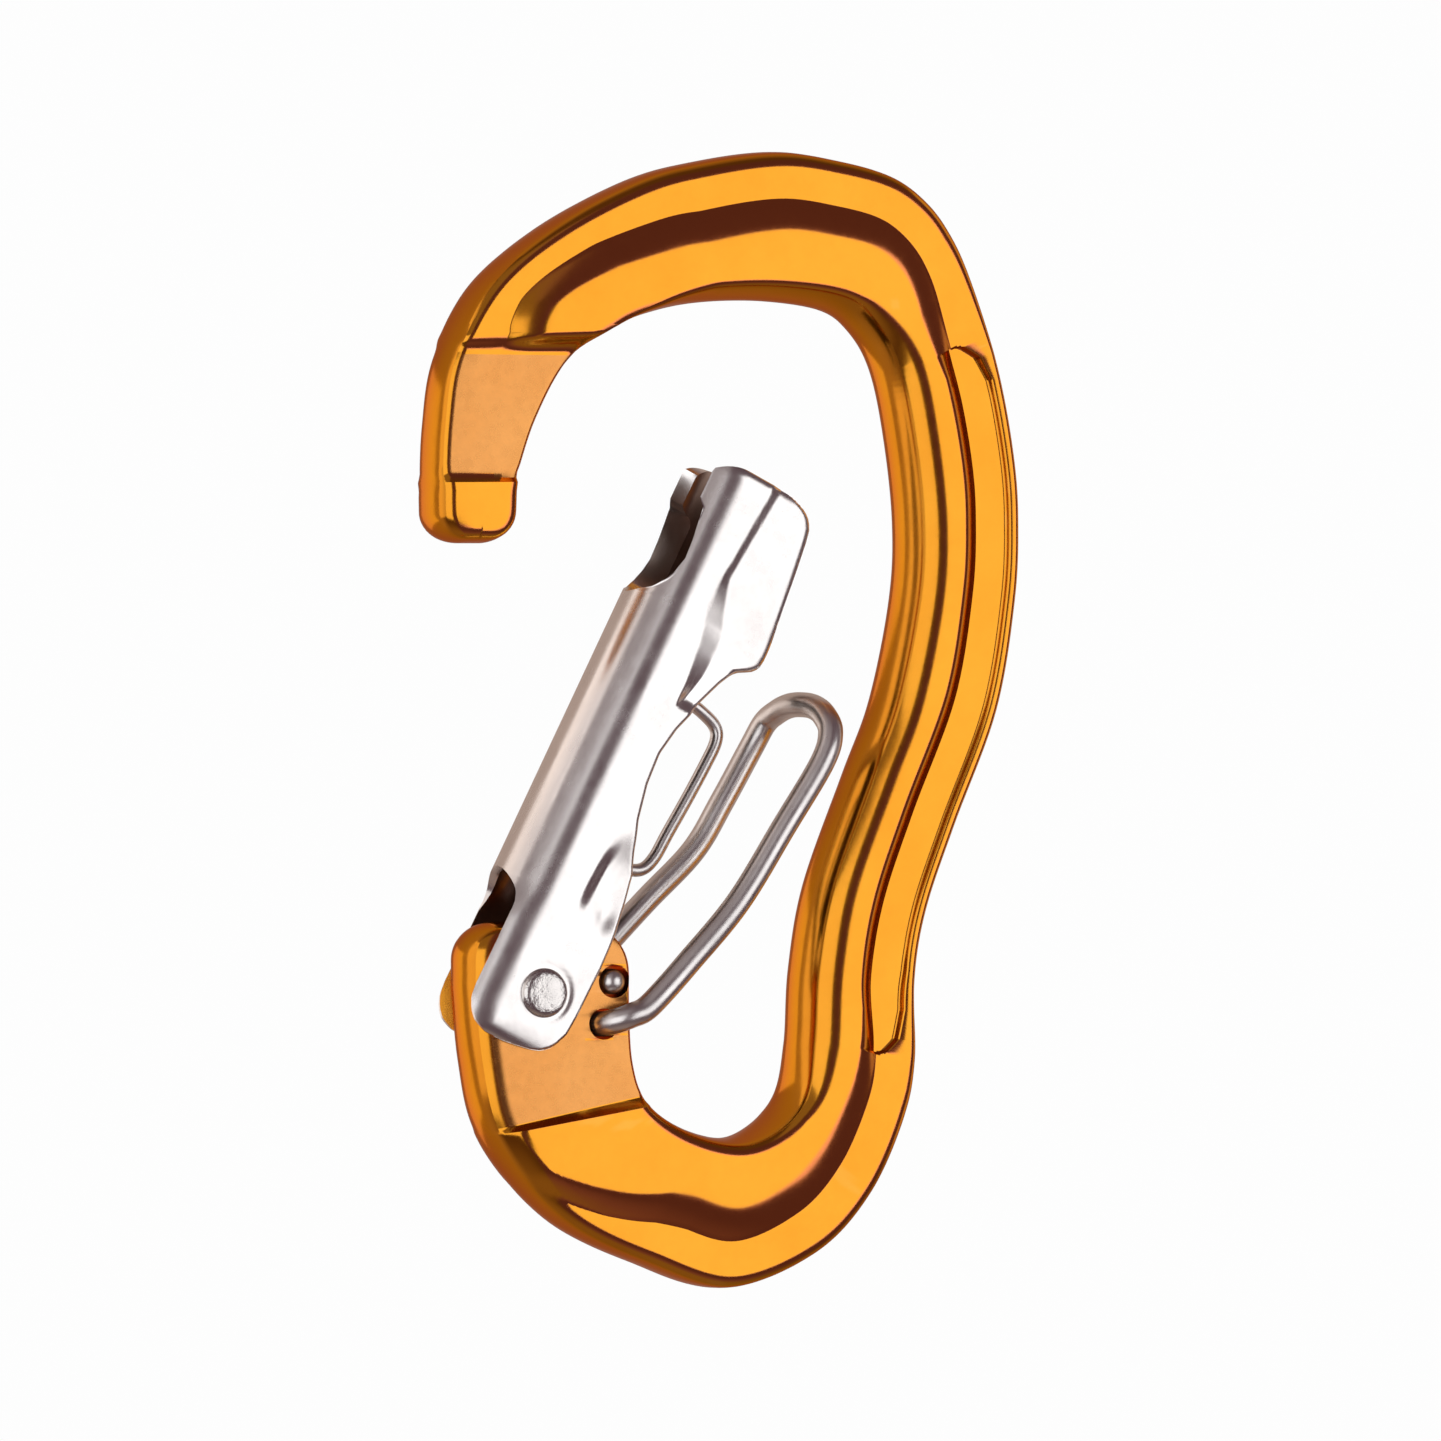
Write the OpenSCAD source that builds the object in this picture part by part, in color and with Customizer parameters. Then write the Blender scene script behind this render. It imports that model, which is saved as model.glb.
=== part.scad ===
// Locking carabiner: a forged hook-shaped body, a pressed channel gate on a
// rivet, and a bent spring wire that stands in the tail behind the gate.
// Millimetres. X points from the gate to the spine, Y through the thickness,
// Z up along the load line. The origin is the top bearing point of the arch.

/* [Body] */
// Full thickness across the rope-bearing rib
rib_t = 9; // [8.2:0.1:9.6]
// Full thickness of the outer flange
flange_t = 7; // [5.6:0.1:7.4]
// In-plane width of the outer flange
flange_w = 4.5; // [3.5:0.1:5.2]
// Thickness of the web left in the spine pocket
pocket_t = 5.8; // [4:0.1:6.4]
// Full thickness of the tail between the gate's ears
tail_t = 7; // [6.6:0.1:7.2]
// Full thickness of the flat part of the nose
nose_t = 6; // [5:0.1:6.1]
// Full thickness of the knob at the end of the nose
knob_t = 7; // [6.4:0.1:7.1]

/* [Gate] */
// Angle of the gate from the load line as it stands open
open_angle = 27; // [24:0.5:28]
// Sheet thickness
sheet_t = 0.8; // [0.7:0.05:0.9]
// Inside width between the flanges
channel_w = 7.5; // [7.4:0.05:7.8]
// Length from the pivot to the top edge
gate_l = 51.4; // [50:0.1:52]
// Centre of the rolled back, measured across the gate from the pivot
roll_v = -3.1; // [-3.4:0.1:-2.8]
// Width of the slot that takes the nose
slot_w = 6.5; // [6.4:0.1:6.8]

/* [Pivot] */
// Distance of the rivet from the load line
pivot_x = -20.2; // [-20.4:0.1:-20]
// Height of the rivet below the top bearing
pivot_z = -63; // [-63.2:0.1:-62.8]
// Radius of the rivet's shank
shank_r = 1.5; // [1.3:0.05:1.6]
// Radius of the rivet's heads
head_r = 2.25; // [1.8:0.05:2.4]
// Height of each rivet head
head_h = 0.6; // [0.4:0.05:0.8]
// Radial clearance of a running fit
run_fit = 0.05; // [0.02:0.01:0.1]

/* [Wire] */
// Radius of the spring wire
wire_r = 1.15; // [1:0.05:1.15]
// Radius of the upper hole, where the far leg's foot has some play
play_r = 1.5; // [1.45:0.05:1.55]
// Gap between a wire leg and the tail's face
leg_gap = 0.3; // [0.2:0.05:0.4]

/* [Hidden] */
$fn = 48;
eps = 0.02;

// Levels on the gate side of the body: the shoulder above the nose, the top
// of its knob, a level below the knob, and the two ends of the tail.
nose_top = -5;
knob_top = -17;
below_knob = -26;
tail_foot = -73;
above_tail = -51;
// A line left of everything, and the lines that bound the nose and the tail
// on the side of the opening
left_line = -34;
nose_line = -14;
tail_line = -8;
// Upper and lower ends of the spine pocket, and its distance from the edge
pocket_top = -3.5;
pocket_foot = -66;
pocket_rim = 1.2;

pivot = [pivot_x, pivot_z];
ear_half = channel_w / 2 + sheet_t;
roll_r = ear_half;
leg_y = tail_t / 2 + leg_gap + wire_r;

// Centres of the two wire holes in the tail: lower one for the near leg,
// upper one for the far leg.
low_hole = pivot + [6.35, -2.9];
high_hole = pivot + [7.4, 0.95];
// Middle of the wire's turn, where the two halves meet
turn = [7.2, -36.9];

// Catmull-Rom curve through a list of points, steps segments per span.
function spline_at(a, b, c, d, t) = 0.5 * (2 * b + (c - a) * t
    + (2 * a - 5 * b + 4 * c - d) * t * t + (3 * b - a - 3 * c + d) * t * t * t);
function open_spline(p, steps) = concat([for (i = [0 : len(p) - 2], j = [0 : steps - 1])
    spline_at(p[max(i - 1, 0)], p[i], p[i + 1], p[min(i + 2, len(p) - 1)], j / steps)],
    [p[len(p) - 1]]);
// Arc around a centre, angles from +X towards +Z.
function arc(c, r, from, to, steps) = [for (i = [0 : steps])
    let (a = from + (to - from) * i / steps) c + r * [cos(a), sin(a)]];
// Points moved sideways, to the right of the direction of travel.
function shifted(p, d) = [for (i = [0 : len(p) - 1])
    let (t = p[min(i + 1, len(p) - 1)] - p[max(i - 1, 0)]) p[i] + d * [t[1], -t[0]] / norm(t)];
function reversed(p) = [for (i = [len(p) - 1 : -1 : 0]) p[i]];

// Outer edge from the knob of the nose over the top, down the spine and
// round the bottom to the tail.
outer_edge = open_spline([[-29.9, -18.6], [-29.6, -11.6], [-28.5, -5.4], [-24.8, 1.3], [-18.3, 6.6],
    [-9.9, 10.9], [-3.4, 12.7], [4.1, 13.7], [10.4, 13], [15.5, 11.7], [19, 9.4], [21.5, 6.3],
    [23.5, 1.9], [26.1, -6.4], [27.6, -14], [28.05, -20], [27.7, -27.3], [25.8, -37.5],
    [21.5, -48.1], [18.6, -56], [17.5, -62.5], [17.7, -69.5], [16.7, -74.9], [13.2, -81.9],
    [7.7, -87.2], [-0.9, -90.2], [-9.3, -87.8], [-16.4, -84.6], [-21.4, -80.2], [-24.6, -75.1],
    [-25.8, -69], [-26, -64]], 4);
// Rounded top of the tail, from its outer to its inner side.
tail_top = concat(arc([-22.9, -59.7], 3.1, 180, 90, 5), arc([-14, -59.85], 3.25, 90, 8, 5));
// Inner edge from the tail round the basket, up the spine and under the arch.
inner_edge = open_spline([[-10.75, -63.5], [-10.6, -69.5], [-9.2, -72.9], [-5.4, -75.4], [-0.6, -76.5],
    [3.2, -75.2], [5.6, -72.4], [6.3, -67.5], [6.7, -61], [8.2, -53.2], [12.1, -43.2], [14.9, -36.2],
    [16.9, -27], [17.2, -20], [16.3, -12.3], [14.9, -6.3], [12.7, -2.8], [9.6, -0.8], [3.6, 0],
    [-2.7, -0.15], [-8, -1.1], [-12.8, -2.8], [-17, -5.9], [-20, -11], [-21.8, -16]], 4);
// Rounded end of the knob.
knob_end = concat(arc([-24.9, -19.3], 3, -5, -85, 5), arc([-26.9, -19.3], 3, -90, -170, 5));
outline = concat(outer_edge, tail_top, inner_edge, knob_end);
// Valley between the flange and the rib.
valley = shifted(outer_edge, flange_w);

// A flat plate standing in the XZ plane, centred on Y = 0.
module plate(t) {
    rotate([90, 0, 0]) linear_extrude(t, center = true) children();
}

// A plate set off the middle, from y0 to y1.
module slab(y0, y1) {
    translate([0, y1, 0]) rotate([90, 0, 0]) linear_extrude(y1 - y0) children();
}

// Everything on the gate side between two levels, as far as the line given.
module gate_side(from, to, line) {
    translate([left_line, from]) square([line - left_line, to - from]);
}

module rib_shape() {
    intersection() {
        polygon(outline);
        difference() {
            polygon(concat(valley, [[-24, -60], [-8, -60], [-8, -20], [-24, -14]]));
            gate_side(tail_foot, above_tail, tail_line);
            gate_side(below_knob, nose_top, nose_line);
        }
    }
}

module flange_shape() {
    difference() {
        polygon(outline);
        gate_side(tail_foot, above_tail, tail_line);
        gate_side(below_knob, nose_top, tail_line);
    }
}

module part_of_outline(from, to) {
    intersection() {
        polygon(outline);
        gate_side(from, to, tail_line);
    }
}

module pocket_shape() {
    spine = [for (p = outer_edge) if (p[0] > 15 && p[1] < pocket_top && p[1] > pocket_foot) p];
    polygon(concat(shifted(spine, pocket_rim), reversed(shifted(spine, flange_w))));
}

module body() {
    color("orange") difference() {
        union() {
            plate(flange_t) flange_shape();
            plate(rib_t) rib_shape();
            plate(tail_t) part_of_outline(tail_foot - eps, above_tail);
            plate(nose_t) part_of_outline(knob_top - 1, nose_top + eps);
            plate(knob_t) part_of_outline(below_knob, knob_top);
        }
        for (side = [0, 1]) mirror([0, side, 0])
            slab(pocket_t / 2, rib_t) pocket_shape();
        across(pivot, shank_r + run_fit, rib_t + 2);
        across(low_hole, wire_r + run_fit, rib_t + 2);
        across(high_hole, play_r, rib_t + 2);
    }
}

// A round bar along Y, centred on Y = 0, at a place in the XZ plane.
module across(p, r, l) {
    translate([p[0], 0, p[1]]) rotate([90, 0, 0]) cylinder(h = l, r = r, center = true);
}

// The gate's flange, drawn with the distance across the gate first and the
// distance from the pivot second.
flange_edge = [[roll_v, gate_l], [2, gate_l], [4.3, gate_l - 1.2], [4.9, gate_l - 3.1], [6.1, 38],
    [6, 36], [4.4, 34.8], [2, 30.2], [0.5, 24.5], [1.3, 18.2], [3.3, 13.4], [4, 8.2], [3.9, -2.3],
    [1.9, -5], [-2.4, -5.6], [-4.7, -5], [-5.9, -3], [-6, 4.6], [-4.8, 8.2], [roll_v, 9.2]];
back_window_from = 8.8;
front_window = [37, 46.9];
corner_r = 1;

module gate_blank() {
    for (side = [0, 1]) mirror([0, side, 0])
        slab(channel_w / 2, ear_half) polygon(flange_edge);
    translate([roll_v, 0, back_window_from]) difference() {
        cylinder(h = gate_l - back_window_from, r = roll_r);
        translate([0, 0, -1]) cylinder(h = gate_l, r = channel_w / 2);
        translate([0, -roll_r - 1, -1]) cube([roll_r + 1, 2 * roll_r + 2, gate_l]);
    }
}

// Cut through the rolled back from outside: a window of width w with a round
// lower end and small upper corners.
module back_cut(w, from, to) {
    translate([roll_v - roll_r - 1, 0, 0]) rotate([90, 0, 90]) linear_extrude(roll_r + 0.9)
        hull() {
            translate([0, from + w / 2]) circle(w / 2, $fn = 32);
            for (side = [-1, 1]) translate([side * (w / 2 - corner_r), to - corner_r])
                circle(corner_r, $fn = 32);
        }
}

// D-shaped eye on the far flange's waist, on the flange's inner side.
eye_t = 1.2;
eye_outside = [[0.4, 31], [7.6, 30.3], [7.3, 15.5], [1.6, 14]];
eye_inside = [[-1, 29.3], [6.2, 28.8], [6.4, 16.6], [-1, 15.4]];

module eye() {
    slab(channel_w / 2 - eye_t, channel_w / 2 + eps) difference() {
        polygon(eye_outside);
        polygon(eye_inside);
    }
}

module gate() {
    color("silver") translate([pivot[0], 0, pivot[1]]) rotate([0, open_angle, 0])
        difference() {
            union() {
                gate_blank();
                eye();
            }
            back_cut(channel_w - 0.05, front_window[0], front_window[1]);
            translate([roll_v - roll_r - 1, -slot_w / 2, front_window[1] - 3])
                cube([roll_r + 0.9, slot_w, 10]);
            across([0, 0], shank_r, 2 * ear_half + 2);
        }
}

module rivet() {
    color("gainsboro") translate([pivot[0], 0, pivot[1]]) {
        rotate([90, 0, 0]) cylinder(h = 2 * ear_half, r = shank_r, center = true);
        for (side = [0, 1]) mirror([0, side, 0]) translate([0, -ear_half, 0])
            rotate([90, 0, 0]) cylinder(h = head_h, r1 = head_r, r2 = head_r * 0.7);
    }
}

// Round bar swept along a path. The flat end faces look along the first
// and the last direction given.
module swept(path, first, last, r) {
    sides = 16;
    across_leg = [1, 0, -0.8];
    n = len(path);
    rings = [for (i = [0 : n - 1])
        let (t = i == 0 ? first : i == n - 1 ? last : path[i + 1] - path[i - 1],
            u = cross(t, across_leg) / norm(cross(t, across_leg)),
            v = cross(t, u) / norm(t))
        for (j = [0 : sides - 1])
            path[i] + r * (cos(360 * j / sides) * u + sin(360 * j / sides) * v)];
    walls = [for (i = [0 : n - 2], j = [0 : sides - 1])
        let (k = (j + 1) % sides)
        [i * sides + j, (i + 1) * sides + j, (i + 1) * sides + k, i * sides + k]];
    ends = [[for (j = [0 : sides - 1]) j], [for (j = [sides - 1 : -1 : 0]) (n - 1) * sides + j]];
    polyhedron(rings, concat(walls, ends));
}

// Half of the spring wire. side is -1 for the near leg and 1 for the far
// one: a foot through the tail, a cranked leg and half of the turn.
module wire_half(side, hole, leg) {
    path = open_spline(concat([[hole[0], side * leg_y, hole[1]]], leg), 4);
    color("dimgray") {
        translate([hole[0], 0, hole[1]]) rotate([side * 90, 0, 0])
            translate([0, 0, -leg_y - wire_r + 0.2])
                cylinder(h = leg_y + wire_r - 0.2 + foot_reach, r = wire_r);
        swept(path, path[1] - path[0], [0, -side, 0], wire_r - 0.01);
    }
}

// How far each foot reaches past the middle of the tail
foot_reach = tail_t / 2 - 0.3;
near_leg = [[-10.4, -leg_y, -64.6], [-6.2, -leg_y, -60.3], [-1.2, -leg_y, -54.9], [3.4, -leg_y, -48],
    [7.4, -leg_y, -42], [8.4, -3.9, -39.3], [8.1, -2, -37.5], [turn[0], -eps, turn[1]]];
far_leg = [[-10.1, leg_y, -59], [-6, leg_y, -54.7], [-1.3, leg_y, -50.4], [1.6, leg_y, -45.8],
    [4.6, leg_y, -40.9], [5.5, 3.9, -38.9], [6.2, 2, -37.5], [turn[0], eps, turn[1]]];

module wire_near() {
    wire_half(-1, low_hole, near_leg);
}

module wire_far() {
    wire_half(1, high_hole, far_leg);
}

body();
gate();
rivet();
wire_near();
wire_far();
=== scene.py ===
import math
import bpy
import bmesh
import numpy as np
from mathutils import Matrix, Vector


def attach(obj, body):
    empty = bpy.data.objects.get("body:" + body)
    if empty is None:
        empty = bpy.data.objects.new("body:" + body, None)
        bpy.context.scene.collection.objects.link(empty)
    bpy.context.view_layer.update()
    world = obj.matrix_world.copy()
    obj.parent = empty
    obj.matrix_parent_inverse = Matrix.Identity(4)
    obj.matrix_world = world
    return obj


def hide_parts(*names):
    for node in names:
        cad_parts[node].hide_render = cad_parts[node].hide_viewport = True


# A locking carabiner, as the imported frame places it: forged body, sheet gate, rivet and spring wire.
# Shapes are worked out in millimetres in the frame's own axes, and scaled by MM where meshes are made.

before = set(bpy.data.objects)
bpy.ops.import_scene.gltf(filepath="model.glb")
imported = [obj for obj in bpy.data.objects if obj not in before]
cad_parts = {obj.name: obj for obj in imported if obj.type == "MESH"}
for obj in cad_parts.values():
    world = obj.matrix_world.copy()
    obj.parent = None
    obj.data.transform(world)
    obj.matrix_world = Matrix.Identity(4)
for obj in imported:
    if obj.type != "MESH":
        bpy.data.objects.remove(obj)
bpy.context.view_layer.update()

MM = 0.001


# ---------------------------------------------------------------- helpers
def smooth(x):
    """A soft step from 0 at x = 0 to 1 at x = 1."""
    x = np.clip(x, 0.0, 1.0)
    return x * x * (3 - 2 * x)


def arc(cx, cz, r, a0, a1, n=14):
    """Points on an arc, angles in degrees from +X towards +Z."""
    angles = np.radians(np.linspace(a0, a1, n))
    return [[cx + r * math.cos(a), cz + r * math.sin(a)] for a in angles]


def spline(points, per=10):
    """Catmull-Rom curve through the points, `per` pieces between two."""
    p = np.array(points, float)
    p = np.vstack([2 * p[0] - p[1], p, 2 * p[-1] - p[-2]])
    t = np.linspace(0, 1, per, endpoint=False)[:, None]
    out = []
    for a, b, c, d in zip(p[:-3], p[1:-2], p[2:-1], p[3:]):
        out.append(0.5 * (2 * b + (c - a) * t + (2 * a - 5 * b + 4 * c - d) * t ** 2
                          + (3 * b - a - 3 * c + d) * t ** 3))
    return np.vstack(out + [p[-2:-1]])


class Path:
    """A polyline measured by its length."""

    def __init__(self, points):
        self.p = np.array(points, float)
        step = np.linalg.norm(np.diff(self.p, axis=0), axis=1)
        keep = np.r_[True, step > 1e-6]
        self.p = self.p[keep]
        step = np.linalg.norm(np.diff(self.p, axis=0), axis=1)
        self.s = np.r_[0, np.cumsum(step)]
        self.length = self.s[-1]

    def at(self, s):
        return np.stack([np.interp(s, self.s, self.p[:, k]) for k in range(self.p.shape[1])], -1)

    def find(self, point):
        """Length at the place nearest to the point."""
        a, b = self.p[:-1], self.p[1:]
        ab = b - a
        t = np.clip(((point - a) * ab).sum(1) / (ab ** 2).sum(1), 0, 1)
        d = np.linalg.norm(a + ab * t[:, None] - point, axis=1)
        k = int(d.argmin())
        return self.s[k] + t[k] * (self.s[k + 1] - self.s[k])


def pchip(x, xs, ys):
    """Monotone cubic through (xs, ys)."""
    xs, ys = np.array(xs, float), np.array(ys, float)
    h, d = np.diff(xs), np.diff(ys) / np.diff(xs)
    m = np.zeros_like(ys)
    for k in range(1, len(xs) - 1):
        if d[k - 1] * d[k] > 0:
            w1, w2 = 2 * h[k] + h[k - 1], h[k] + 2 * h[k - 1]
            m[k] = (w1 + w2) / (w1 / d[k - 1] + w2 / d[k])
    m[0], m[-1] = d[0], d[-1]
    k = np.clip(np.searchsorted(xs, x) - 1, 0, len(xs) - 2)
    t = (x - xs[k]) / h[k]
    return ((1 + 2 * t) * (1 - t) ** 2 * ys[k] + t * (1 - t) ** 2 * h[k] * m[k]
            + t * t * (3 - 2 * t) * ys[k + 1] + t * t * (t - 1) * h[k] * m[k + 1])


def edge_distance(points, loop):
    """Distance from each point to the closed loop, a batch of points at a time."""
    batch = 4000
    a, b = loop, np.roll(loop, -1, axis=0)
    ab = b - a
    den = (ab ** 2).sum(1) + 1e-12
    out = np.empty(len(points))
    for k in range(0, len(points), batch):
        q = points[k:k + batch, None, :]
        t = np.clip(((q - a) * ab).sum(2) / den, 0, 1)
        out[k:k + batch] = np.sqrt((((a + ab * t[..., None]) - q) ** 2).sum(2)).min(1)
    return out


def make_object(name, verts, faces, material, smooth_angle, second=None):
    """A welded, shaded object from millimetre points. second is a material and one flag for each face."""
    me = bpy.data.meshes.new(name)
    me.from_pydata([tuple(v * MM for v in p) for p in verts], [], faces)
    if second:
        me.materials.append(material)
        me.materials.append(second[0])
        for face, chosen in zip(me.polygons, second[1]):
            face.material_index = int(chosen)
    me.validate()
    ob = bpy.data.objects.new(name, me)
    bpy.context.scene.collection.objects.link(ob)
    bm = bmesh.new()
    bm.from_mesh(me)
    bmesh.ops.remove_doubles(bm, verts=bm.verts, dist=0.000004)
    bmesh.ops.dissolve_degenerate(bm, edges=bm.edges, dist=0.000002)
    bmesh.ops.recalc_face_normals(bm, faces=bm.faces)
    bm.to_mesh(me)
    bm.free()
    me.shade_smooth()
    me.set_sharp_from_angle(angle=math.radians(smooth_angle))
    if not second:
        me.materials.append(material)
    return ob


def grid_faces(rows, cols, start=0, flip=False):
    """Quads over a grid of points whose first index is start."""
    faces = []
    for i in range(rows - 1):
        for j in range(cols - 1):
            a = start + i * cols + j
            f = (a, a + 1, a + cols + 1, a + cols)
            faces.append(f[::-1] if flip else f)
    return faces


# ---------------------------------------------------------------- materials
def node(nt, kind, **values):
    """A shader node with its settings and socket values."""
    n = nt.nodes.new(kind)
    for key, value in values.items():
        if hasattr(n, key) and key not in n.inputs:
            setattr(n, key, value)
        else:
            n.inputs[key].default_value = value
    return n


def paint_slope_shade(nt, colour, slope_shade_colour):
    """Mixes in a painted shade, a deeper colour, on slopes between the flat sides and the rim, except towards
    the gate. The deeper colour stands in for the dark reflections on those slopes.

    It goes by the face's direction on the object: Y is 1 on the flat sides, and X is -1 towards the gate.
    """
    normal = node(nt, "ShaderNodeTexCoord")
    axes = node(nt, "ShaderNodeSeparateXYZ")
    flatness = node(nt, "ShaderNodeMath", operation="ABSOLUTE")
    ramp = node(nt, "ShaderNodeValToRGB")
    stops = ramp.color_ramp.elements
    stops[0].position, stops[0].color = 0.80, (0, 0, 0, 1)
    stops[1].position, stops[1].color = 0.993, (0, 0, 0, 1)
    for position in (0.89, 0.978):
        stops.new(position).color = (1, 1, 1, 1)
    mix = node(nt, "ShaderNodeMix", data_type="RGBA")
    mix.inputs["B"].default_value = (*slope_shade_colour, 1)
    nt.links.new(normal.outputs["Normal"], axes.inputs["Vector"])
    nt.links.new(axes.outputs["Y"], flatness.inputs[0])
    nt.links.new(flatness.outputs["Value"], ramp.inputs["Fac"])
    away = node(nt, "ShaderNodeMapRange")
    away.inputs["From Min"].default_value = -0.36
    away.inputs["From Max"].default_value = -0.20
    both = node(nt, "ShaderNodeMath", operation="MULTIPLY")
    nt.links.new(axes.outputs["X"], away.inputs["Value"])
    nt.links.new(away.outputs["Result"], both.inputs[0])
    nt.links.new(ramp.outputs["Color"], both.inputs[1])
    nt.links.new(both.outputs["Value"], mix.inputs["Factor"])
    nt.links.new(colour, mix.inputs["A"])
    return mix.outputs["Result"]


def metal(name, base, tint, roughness, spread, brushed, wear, bump, coat=0.0, edge_tint=None,
          dent=0.00005, slope_shade_colour=None):
    """A worked metal: cloudy colour, grain in roughness and bump, rubbed edges.

    base and tint are the two colours of the clouds, brushed is the grain's scale along each axis,
    wear is how bright the rubbed edges are, and dent is the depth of the grain in metres.
    """
    m = bpy.data.materials.new(name)
    m.use_nodes = True
    nt = m.node_tree
    b = nt.nodes["Principled BSDF"]
    b.inputs["Metallic"].default_value = 1.0
    b.inputs["Coat Weight"].default_value = coat
    b.inputs["Coat Roughness"].default_value = 0.12
    if edge_tint:
        b.inputs["Specular Tint"].default_value = (*edge_tint, 1)
    pos = node(nt, "ShaderNodeTexCoord")
    stretch = node(nt, "ShaderNodeMapping")
    stretch.inputs["Scale"].default_value = brushed
    nt.links.new(pos.outputs["Object"], stretch.inputs["Vector"])
    cloud = node(nt, "ShaderNodeTexNoise", Scale=90.0, Detail=4.0, Roughness=0.6)
    nt.links.new(pos.outputs["Object"], cloud.inputs["Vector"])
    grain = node(nt, "ShaderNodeTexNoise", Scale=900.0, Detail=5.0, Roughness=0.7)
    nt.links.new(stretch.outputs["Vector"], grain.inputs["Vector"])
    colour = node(nt, "ShaderNodeValToRGB")
    colour.color_ramp.elements[0].position = 0.30
    colour.color_ramp.elements[0].color = (*tint, 1)
    colour.color_ramp.elements[1].position = 0.62
    colour.color_ramp.elements[1].color = (*base, 1)
    nt.links.new(cloud.outputs["Fac"], colour.inputs["Fac"])
    geo = node(nt, "ShaderNodeNewGeometry")
    rub = node(nt, "ShaderNodeMapRange")
    rub.inputs["From Min"].default_value = 0.53
    rub.inputs["From Max"].default_value = 0.62
    rub.inputs["To Max"].default_value = wear
    nt.links.new(geo.outputs["Pointiness"], rub.inputs["Value"])
    worn = node(nt, "ShaderNodeMix", data_type="RGBA")
    worn.inputs["B"].default_value = (min(1, base[0] * 1.05 + 0.03), min(1, base[1] * 1.1 + 0.05),
                                      min(1, base[2] * 1.1 + 0.06), 1)
    nt.links.new(rub.outputs["Result"], worn.inputs["Factor"])
    surface = colour.outputs["Color"]
    # painted shade: with a slope colour given, the slopes get a deeper colour in place of their dark
    # reflections
    if slope_shade_colour:
        surface = paint_slope_shade(nt, surface, slope_shade_colour)
    nt.links.new(surface, worn.inputs["A"])
    nt.links.new(worn.outputs["Result"], b.inputs["Base Color"])
    rough = node(nt, "ShaderNodeMapRange")
    rough.inputs["From Min"].default_value = 0.3
    rough.inputs["From Max"].default_value = 0.7
    rough.inputs["To Min"].default_value = roughness - spread
    rough.inputs["To Max"].default_value = roughness + spread
    nt.links.new(grain.outputs["Fac"], rough.inputs["Value"])
    nt.links.new(rough.outputs["Result"], b.inputs["Roughness"])
    relief = node(nt, "ShaderNodeBump", Strength=bump, Distance=dent)
    nt.links.new(grain.outputs["Fac"], relief.inputs["Height"])
    nt.links.new(relief.outputs["Normal"], b.inputs["Normal"])
    return m


EVEN, ALONG_GATE, ALONG_WIRE, SCUFFED = (1, 1, 1), (0.25, 1.0, 0.25), (0.4, 1.0, 0.4), (0.55, 0.55, 0.55)
# the body's slope colour is a painted shade on its slopes, not a colour of the anodising
ANODISED = metal("orange_anodised", (0.80, 0.335, 0.022), (0.77, 0.300, 0.017), 0.17, 0.03, EVEN, 0.25, 0.05,
                 coat=0.15, edge_tint=(0.75, 0.36, 0.20), slope_shade_colour=(0.79, 0.235, 0.07))
WEB = metal("orange_machined", (0.73, 0.325, 0.086), (0.70, 0.292, 0.070), 0.26, 0.04, EVEN, 0.25, 0.08,
            coat=0.1, edge_tint=(0.75, 0.40, 0.25))
GATE_STEEL = metal("gate_steel", (0.90, 0.885, 0.87), (0.83, 0.81, 0.79), 0.24, 0.06, ALONG_GATE, 0.2, 0.10)
# a dark copy of the gate's steel: painted shade for the inner faces of the closed roll
GATE_SHADE_INSIDE = metal("gate_painted_shade_inside", (0.24, 0.165, 0.13), (0.15, 0.095, 0.075), 0.34, 0.08, ALONG_GATE,
                    0.2, 0.15)
WIRE_STEEL = metal("wire_steel", (0.88, 0.865, 0.85), (0.78, 0.765, 0.75), 0.32, 0.06, ALONG_WIRE, 0.15, 0.06)
RIVET_STEEL = metal("rivet_steel", (0.84, 0.83, 0.81), (0.70, 0.68, 0.66), 0.20, 0.06, SCUFFED, 0.2, 0.6,
                    dent=0.00022)


# ---------------------------------------------------------------- forged body
# inner and outer edge in the XZ plane, from the knob of the nose to the end of the tail
INNER = (arc(-24.9, -19.3, 3.0, -85, -5)
         + list(spline([[-21.8, -16], [-20, -11], [-17, -5.9], [-12.8, -2.8], [-8, -1.1], [-2.7, -0.15],
                        [3.6, 0], [9.6, -0.8], [12.7, -2.8], [14.9, -6.3], [16.3, -12.3], [17.2, -20],
                        [16.9, -27], [14.9, -36.2], [12.1, -43.2], [8.2, -53.2], [6.7, -61], [6.3, -67.5],
                        [5.6, -72.4], [3.2, -75.2], [-0.6, -76.5], [-5.4, -75.4], [-9.2, -72.9],
                        [-10.6, -69.5], [-10.95, -64.5], [-10.95, -61.6]]))
         + arc(-15.6, -61.2, 4.62, 4, 90))
OUTER = (arc(-26.9, -19.3, 3.0, 270, 190)
         + list(spline([[-29.9, -18.2], [-29.6, -11.6], [-28.5, -5.4], [-24.8, 1.3], [-18.3, 6.6],
                        [-9.9, 10.9], [-3.4, 12.7], [4.1, 13.7], [10.4, 13], [15.5, 11.7], [19, 9.4],
                        [21.5, 6.3], [23.5, 1.9], [26.1, -6.4], [27.6, -14], [28.05, -20], [27.7, -27.3],
                        [25.8, -37.5], [21.5, -48.1], [18.6, -56], [17.5, -62.5], [17.7, -69.5],
                        [16.7, -74.9], [13.2, -81.9], [7.7, -87.2], [-0.9, -90.2], [-9.3, -87.8],
                        [-16.4, -84.6], [-21.4, -80.2], [-24.8, -75.1], [-26.2, -69.3], [-26.85, -63.5],
                        [-26.9, -61.2]]))
         + arc(-23.4, -60.1, 3.5, 178, 90))
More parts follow.
